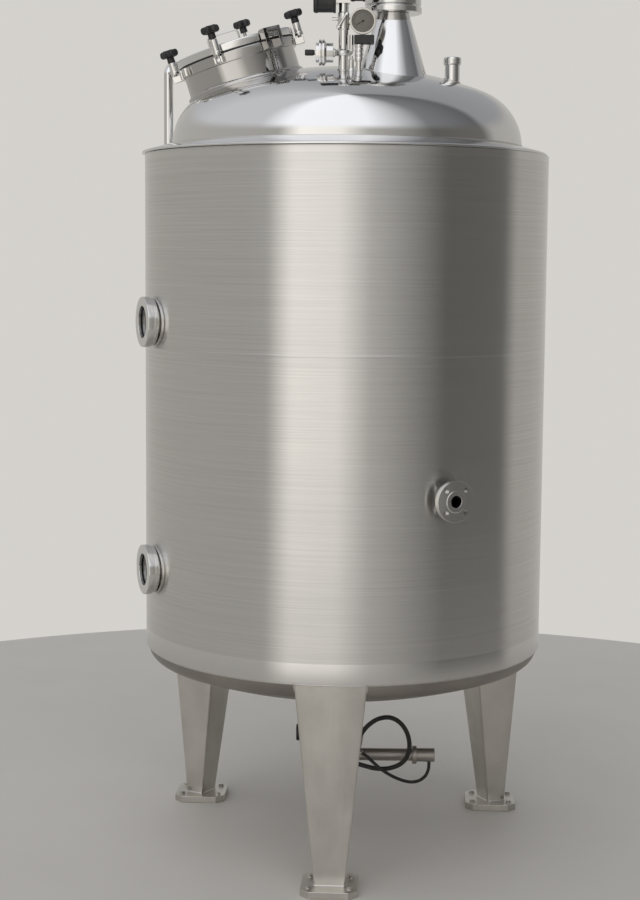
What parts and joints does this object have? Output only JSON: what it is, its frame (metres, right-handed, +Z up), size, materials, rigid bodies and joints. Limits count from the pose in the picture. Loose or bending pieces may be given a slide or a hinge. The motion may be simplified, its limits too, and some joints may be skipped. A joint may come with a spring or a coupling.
{
  "type": "jacketed process tank",
  "caption": "Upright round stainless tank with a heating jacket, dished top with hinged manway and fittings, bottom outlet, and three tapered legs with foot plates.",
  "frame": {"origin": "middle of the object's box in plan, on the floor under the foot plates", "axes": "+Z up along the tank's axis; -Y towards the front leg"},
  "size_m": [1.2148, 1.227, 2.54],
  "materials": {
    "brushed_steel": "horizontally brushed stainless steel",
    "polished_steel": "mirror polished stainless steel",
    "satin_steel": "satin stainless steel",
    "black_plastic": "black moulded plastic",
    "black_rubber": "black rubber",
    "dark_glass": "dark glass over an unlit vessel"
  },
  "bodies": {
    "tank": {"actuator_block": "polished_steel", "actuator_left": "black_plastic", "actuator_right": "black_plastic", "black_cable": "black_rubber", "black_hose": "black_rubber", "drive_flange": "polished_steel", "foot_plate_front": "satin_steel", "foot_plate_left": "satin_steel", "foot_plate_right": "satin_steel", "front_flange": "polished_steel", "inner_vessel": "satin_steel", "jacket_bottom_head": "satin_steel", "jacket_shell": "brushed_steel", "jacket_top_ring": "polished_steel", "jacket_vent_gooseneck": "polished_steel", "leg_front": "satin_steel", "leg_left": "satin_steel", "leg_right": "satin_steel", "lid_handle": "polished_steel", "lid_hinge_bracket": "polished_steel", "lid_hinge_strap": "polished_steel", "manway_collar": "polished_steel", "manway_gasket": "black_rubber", "manway_lid": "polished_steel", "outlet_pipe": "polished_steel", "outlet_valve": "polished_steel", "ribbed_nozzle": "polished_steel", "ribbed_nozzle_head": "black_plastic", "riser_clamp": "polished_steel", "riser_cross": "polished_steel", "riser_tube": "polished_steel", "round_dial": "polished_steel", "side_valve": "polished_steel", "side_valve_knob": "black_plastic", "sight_cover_lower": "polished_steel", "sight_cover_upper": "polished_steel", "sight_glass_lower": "dark_glass", "sight_glass_upper": "dark_glass", "sight_neck_lower": "polished_steel", "sight_neck_upper": "polished_steel", "stirrer_cone": "polished_steel", "swing_bolt_bracket_1": "polished_steel", "swing_bolt_bracket_2": "polished_steel", "swing_bolt_bracket_3": "polished_steel", "swing_bolt_bracket_4": "polished_steel", "top_head": "polished_steel", "valve_sensor": "black_plastic", "vent_nozzle": "polished_steel", "vent_union": "polished_steel"},
    "bolt_1": {"swing_bolt_1": "polished_steel", "bolt_knob_1": "black_plastic"},
    "bolt_2": {"swing_bolt_2": "polished_steel", "bolt_knob_2": "black_plastic"},
    "bolt_3": {"swing_bolt_3": "polished_steel", "bolt_knob_3": "black_plastic"},
    "bolt_4": {"swing_bolt_4": "polished_steel", "bolt_knob_4": "black_plastic"}
  },
  "joints": [
    {"name": "bolt_1_swing", "type": "hinge", "parent": "tank", "child": "bolt_1", "pos_m": [-0.35775, -0.21268, 2.32003], "axis": [0.9274, -0.2472, 0.2807], "range_deg": [0, 95]},
    {"name": "bolt_2_swing", "type": "hinge", "parent": "tank", "child": "bolt_2", "pos_m": [-0.13005, -0.03025, 2.39831], "axis": [0.0111, 0.9991, 0.0418], "range_deg": [0, 95]},
    {"name": "bolt_3_swing", "type": "hinge", "parent": "tank", "child": "bolt_3", "pos_m": [-0.28173, 0.16364, 2.35828], "axis": [-0.9394, 0.1876, -0.2868], "range_deg": [0, 95]},
    {"name": "bolt_4_swing", "type": "hinge", "parent": "tank", "child": "bolt_4", "pos_m": [-0.49783, -0.00792, 2.28407], "axis": [-0.0776, -0.995, -0.0625], "range_deg": [0, 95]}
  ]
}
